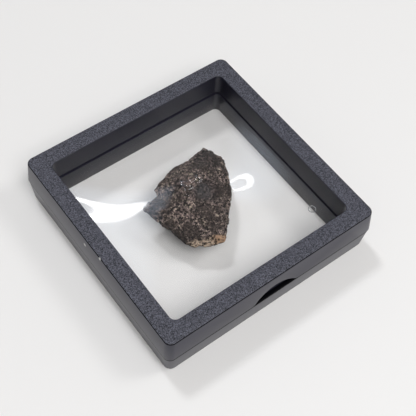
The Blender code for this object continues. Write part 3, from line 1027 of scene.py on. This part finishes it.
def shifted(grid, cells):
    """Copies of a grid, moved by up to so many cells each way."""
    steps = range(-cells, cells + 1)
    return [np.roll(np.roll(grid, di, 0), dj, 1) for di in steps for dj in steps]


def smooth_floor(reach):
    """The reach, a cell wider and smoothed where there is stone, with the clearance on it."""
    wide_reach = np.maximum.reduce(shifted(reach, 1))
    touched = wide_reach > -100
    eased = np.where(touched, wide_reach, 0.0)
    share = sum(shifted(1.0 * touched, 2))
    for smoothing in range(2):
        eased = sum(shifted(eased * touched, 2)) / np.maximum(share, 1.0)
    return np.where(touched, np.maximum(eased + CLEARANCE, reach + MARGIN), NOWHERE)


print("the films stay", CLEARANCE, "mm clear of the stone")

# %% [markdown]
# Repeating the two rules on a fine grid settles the film just as a slow cloth simulation would, in
# a few seconds. A slope stretches the film and stretching pulls harder, so each neighbour counts
# for more where it is steep: that draws the film into the straight-sided tent that a real one makes
# over a point. One faint fold runs from the stone's shoulder to the frame.

# %% Settle a film over the stone
FILM_LEVEL = {1: 10.25, -1: 9.75}
HELD_FROM = 37.6
SLACK = 0.005
TIGHTENINGS = 16
SWEEPS = 60
OVERSHOOT = 1.85
FOLD_START = (-12.1, 10.1, 14.3)
FOLD_END = (-24.1, 37.6, 10.3)
FOLD_WIDTH = 0.25


def add_fold(floor, lines):
    """Raise a thin straight fold from a point on the stone to a point on the frame."""
    start, end = np.array(FOLD_START), np.array(FOLD_END)
    along = end[:2] - start[:2]
    length = np.hypot(*along)
    x, y = np.meshgrid(lines, lines, indexing="ij")
    share = ((x - start[0]) * along[0] + (y - start[1]) * along[1]) / length**2
    aside = np.abs((x - start[0]) * along[1] - (y - start[1]) * along[0]) / length
    fold = start[2] + (end[2] - start[2]) * share
    on_it = (share > 0) & (share < 1) & (aside < FOLD_WIDTH)
    floor[on_it] = np.maximum(floor[on_it], fold[on_it])


def settle_film(lines, side):
    """Heights of a stretched film over the stone, in millimetres, times side."""
    rest = side * FILM_LEVEL[side]
    floor = smooth_floor(stone_reach(lines, side))
    if side > 0:
        add_fold(floor, lines)
    film = np.maximum(rest, floor)
    held = np.abs(lines) > HELD_FROM
    fixed = held[:, None] | held[None, :]
    film[fixed] = rest
    parity = np.add.outer(np.arange(len(lines)), np.arange(len(lines))) % 2
    step = lines[1] - lines[0]
    pull = np.ones_like(film)
    for tightening in range(TIGHTENINGS):
        middle = pull[1:-1, 1:-1]
        east, west = middle + pull[2:, 1:-1], middle + pull[:-2, 1:-1]
        north, south = middle + pull[1:-1, 2:], middle + pull[1:-1, :-2]
        total = east + west + north + south
        for sweep in range(SWEEPS):
            for color_of_square in (0, 1):
                mean = film.copy()
                sideways = east * film[2:, 1:-1] + west * film[:-2, 1:-1]
                mean[1:-1, 1:-1] = (
                    sideways + north * film[1:-1, 2:] + south * film[1:-1, :-2]
                ) / total
                eased = np.maximum(film + OVERSHOOT * (mean - film), floor)
                change = (parity == color_of_square) & ~fixed
                film[change] = eased[change]
        slope_x, slope_y = np.gradient(film, step)
        pull = 0.5 * pull + 0.5 * (SLACK + slope_x**2 + slope_y**2)
    return film


print("a film settles in", TIGHTENINGS * SWEEPS, "sweeps")

# %% Build both films
FILM_HALF = 41.2
FILM_CELLS = 184
FILM_THICKNESS = 0.12


def build_film(name, side):
    """A fine grid laid on the settled heights and given its thickness."""
    bpy.ops.mesh.primitive_grid_add(
        x_subdivisions=FILM_CELLS,
        y_subdivisions=FILM_CELLS,
        size=2 * FILM_HALF * MM,
        location=place(0, 0, 0),
    )
    film = bpy.context.object
    film.name = name
    settle_place(film)
    lines = np.linspace(-FILM_HALF, FILM_HALF, FILM_CELLS + 1)
    heights = settle_film(lines, side)
    step = lines[1] - lines[0]
    for vertex in film.data.vertices:
        i = round((vertex.co.x / MM + FILM_HALF) / step)
        j = round(((vertex.co.y / MM - SQUARE_Y) + FILM_HALF) / step)
        vertex.co.z = side * heights[i, j] * MM
    wall = film.modifiers.new("thickness", "SOLIDIFY")
    wall.thickness = FILM_THICKNESS * MM
    wall.offset = side
    apply_all(film)
    pick(film)
    bpy.ops.object.mode_set(mode="EDIT")
    bpy.ops.mesh.select_all(action="SELECT")
    bpy.ops.mesh.normals_make_consistent(inside=False)
    bpy.ops.object.mode_set(mode="OBJECT")
    bpy.ops.object.shade_smooth()
    report(film)
    return film


upper_film = build_film("upper_film", 1)
lower_film = build_film("lower_film", -1)

# %% [markdown]
# A small ring near the right side of the window is taken for the rim of an air blister. Only the
# rim shows, so a thin torus is laid into the upper film there and joined to it.

# %% Blister in the upper film
BLISTER_PLACE = (32.1, -26.5, 10.4)
BLISTER_RADIUS = 1.25
BLISTER_RIM = 0.2

bpy.ops.mesh.primitive_torus_add(
    location=place(*BLISTER_PLACE),
    major_radius=BLISTER_RADIUS * MM,
    minor_radius=BLISTER_RIM * MM,
    major_segments=48,
    minor_segments=8,
)
blister = bpy.context.object
settle_place(blister)
bpy.ops.object.shade_smooth()
pick(blister, upper_film)
bpy.ops.object.join()
report(upper_film)

# %% [markdown]
# The film is clear glossy plastic, so the shader is plain transmission. Real film lets nearly all
# light straight through, but a path tracer can't aim at a lamp through glass. The Light Path node
# swaps in a Transparent shader for those rays alone, and the stone and table stay evenly lit.
# Along the stone's ridge the film is finely crinkled, and a bump there breaks the lamp's reflection
# into glints.

# %% Film finish
FILM_IOR = 1.36
CRINKLE_DEPTH = 0.0007
RIDGE_SPOTS = (((-1.7, 3.8, 17.2), 3.2), ((2.8, 3.9, 17.2), 3.4), ((-4.3, 0.9, 17.2), 2.6))

clear = bpy.data.materials.new("clear_film")
clear.use_nodes = True
tree = clear.node_tree
shader = tree.nodes["Principled BSDF"]
shader.inputs["Base Color"].default_value = (1.0, 1.0, 1.0, 1)
shader.inputs["Transmission Weight"].default_value = 1.0
shader.inputs["Roughness"].default_value = 0.0
shader.inputs["IOR"].default_value = FILM_IOR
at = tree.nodes.new("ShaderNodeTexCoord").outputs["Object"]
crinkle = noise(tree, at, Scale=520.0, Detail=1.0)
bump = tree.nodes.new("ShaderNodeBump")
bump.inputs["Distance"].default_value = CRINKLE_DEPTH
tree.links.new(near_points(tree, at, RIDGE_SPOTS), bump.inputs["Strength"])
tree.links.new(crinkle.outputs["Fac"], bump.inputs["Height"])
tree.links.new(bump.outputs["Normal"], shader.inputs["Normal"])
path = tree.nodes.new("ShaderNodeLightPath")
through = tree.nodes.new("ShaderNodeBsdfTransparent")
through.inputs["Color"].default_value = (1.0, 1.0, 1.0, 1)
swap = tree.nodes.new("ShaderNodeMixShader")
to_lamp = largest(tree, [path.outputs["Is Shadow Ray"], path.outputs["Is Diffuse Ray"]])
tree.links.new(to_lamp, swap.inputs[0])
tree.links.new(shader.outputs["BSDF"], swap.inputs[1])
tree.links.new(through.outputs["BSDF"], swap.inputs[2])
tree.links.new(swap.outputs["Shader"], tree.nodes["Material Output"].inputs["Surface"])
for film in (upper_film, lower_film):
    film.data.materials.append(clear)
print("films use", clear.name)

# %% [markdown]
# Each piece now rides on a body of the model and stands for one of its nodes. The upper film
# springs flat when the lid is lifted off the stone; here it only gets a mesh of its own.

# %% Join the pieces to the model
for piece, body, node, slot in (
    (upper_shell, "lid", "upper_frame", "shell"),
    (lower_shell, "base", "lower_frame", "shell"),
    (stone, "base", "meteorite", "chondrite"),
    (upper_film, "lid", "upper_membrane", "film"),
    (lower_film, "base", "lower_membrane", "film"),
):
    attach(piece, body)
    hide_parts(node)
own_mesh(upper_film)
